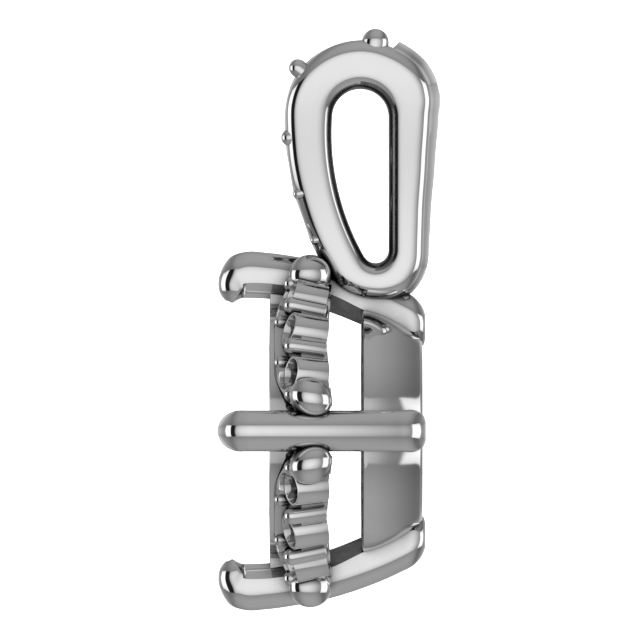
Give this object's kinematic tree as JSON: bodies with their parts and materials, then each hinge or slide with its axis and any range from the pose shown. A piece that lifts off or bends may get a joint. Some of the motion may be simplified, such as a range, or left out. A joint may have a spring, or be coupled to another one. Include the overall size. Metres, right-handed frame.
{
  "type": "pendant mount",
  "caption": "Empty pendant mount: a teardrop bail soldered to a pronged head for one round stone, with a halo of small open seats.",
  "frame": {"origin": "middle of the bottom of the box, on the surface that the mount lies on", "axes": "+Z towards the side that the stones face, +Y from the head to the bail, +X across; the picture looks along -X with +Y up"},
  "size_m": [0.0082, 0.0132, 0.005],
  "materials": {
    "white_metal": "high polish white gold"
  },
  "bodies": {
    "root": {"pendant_mount": "white_metal"}
  },
  "joints": []
}
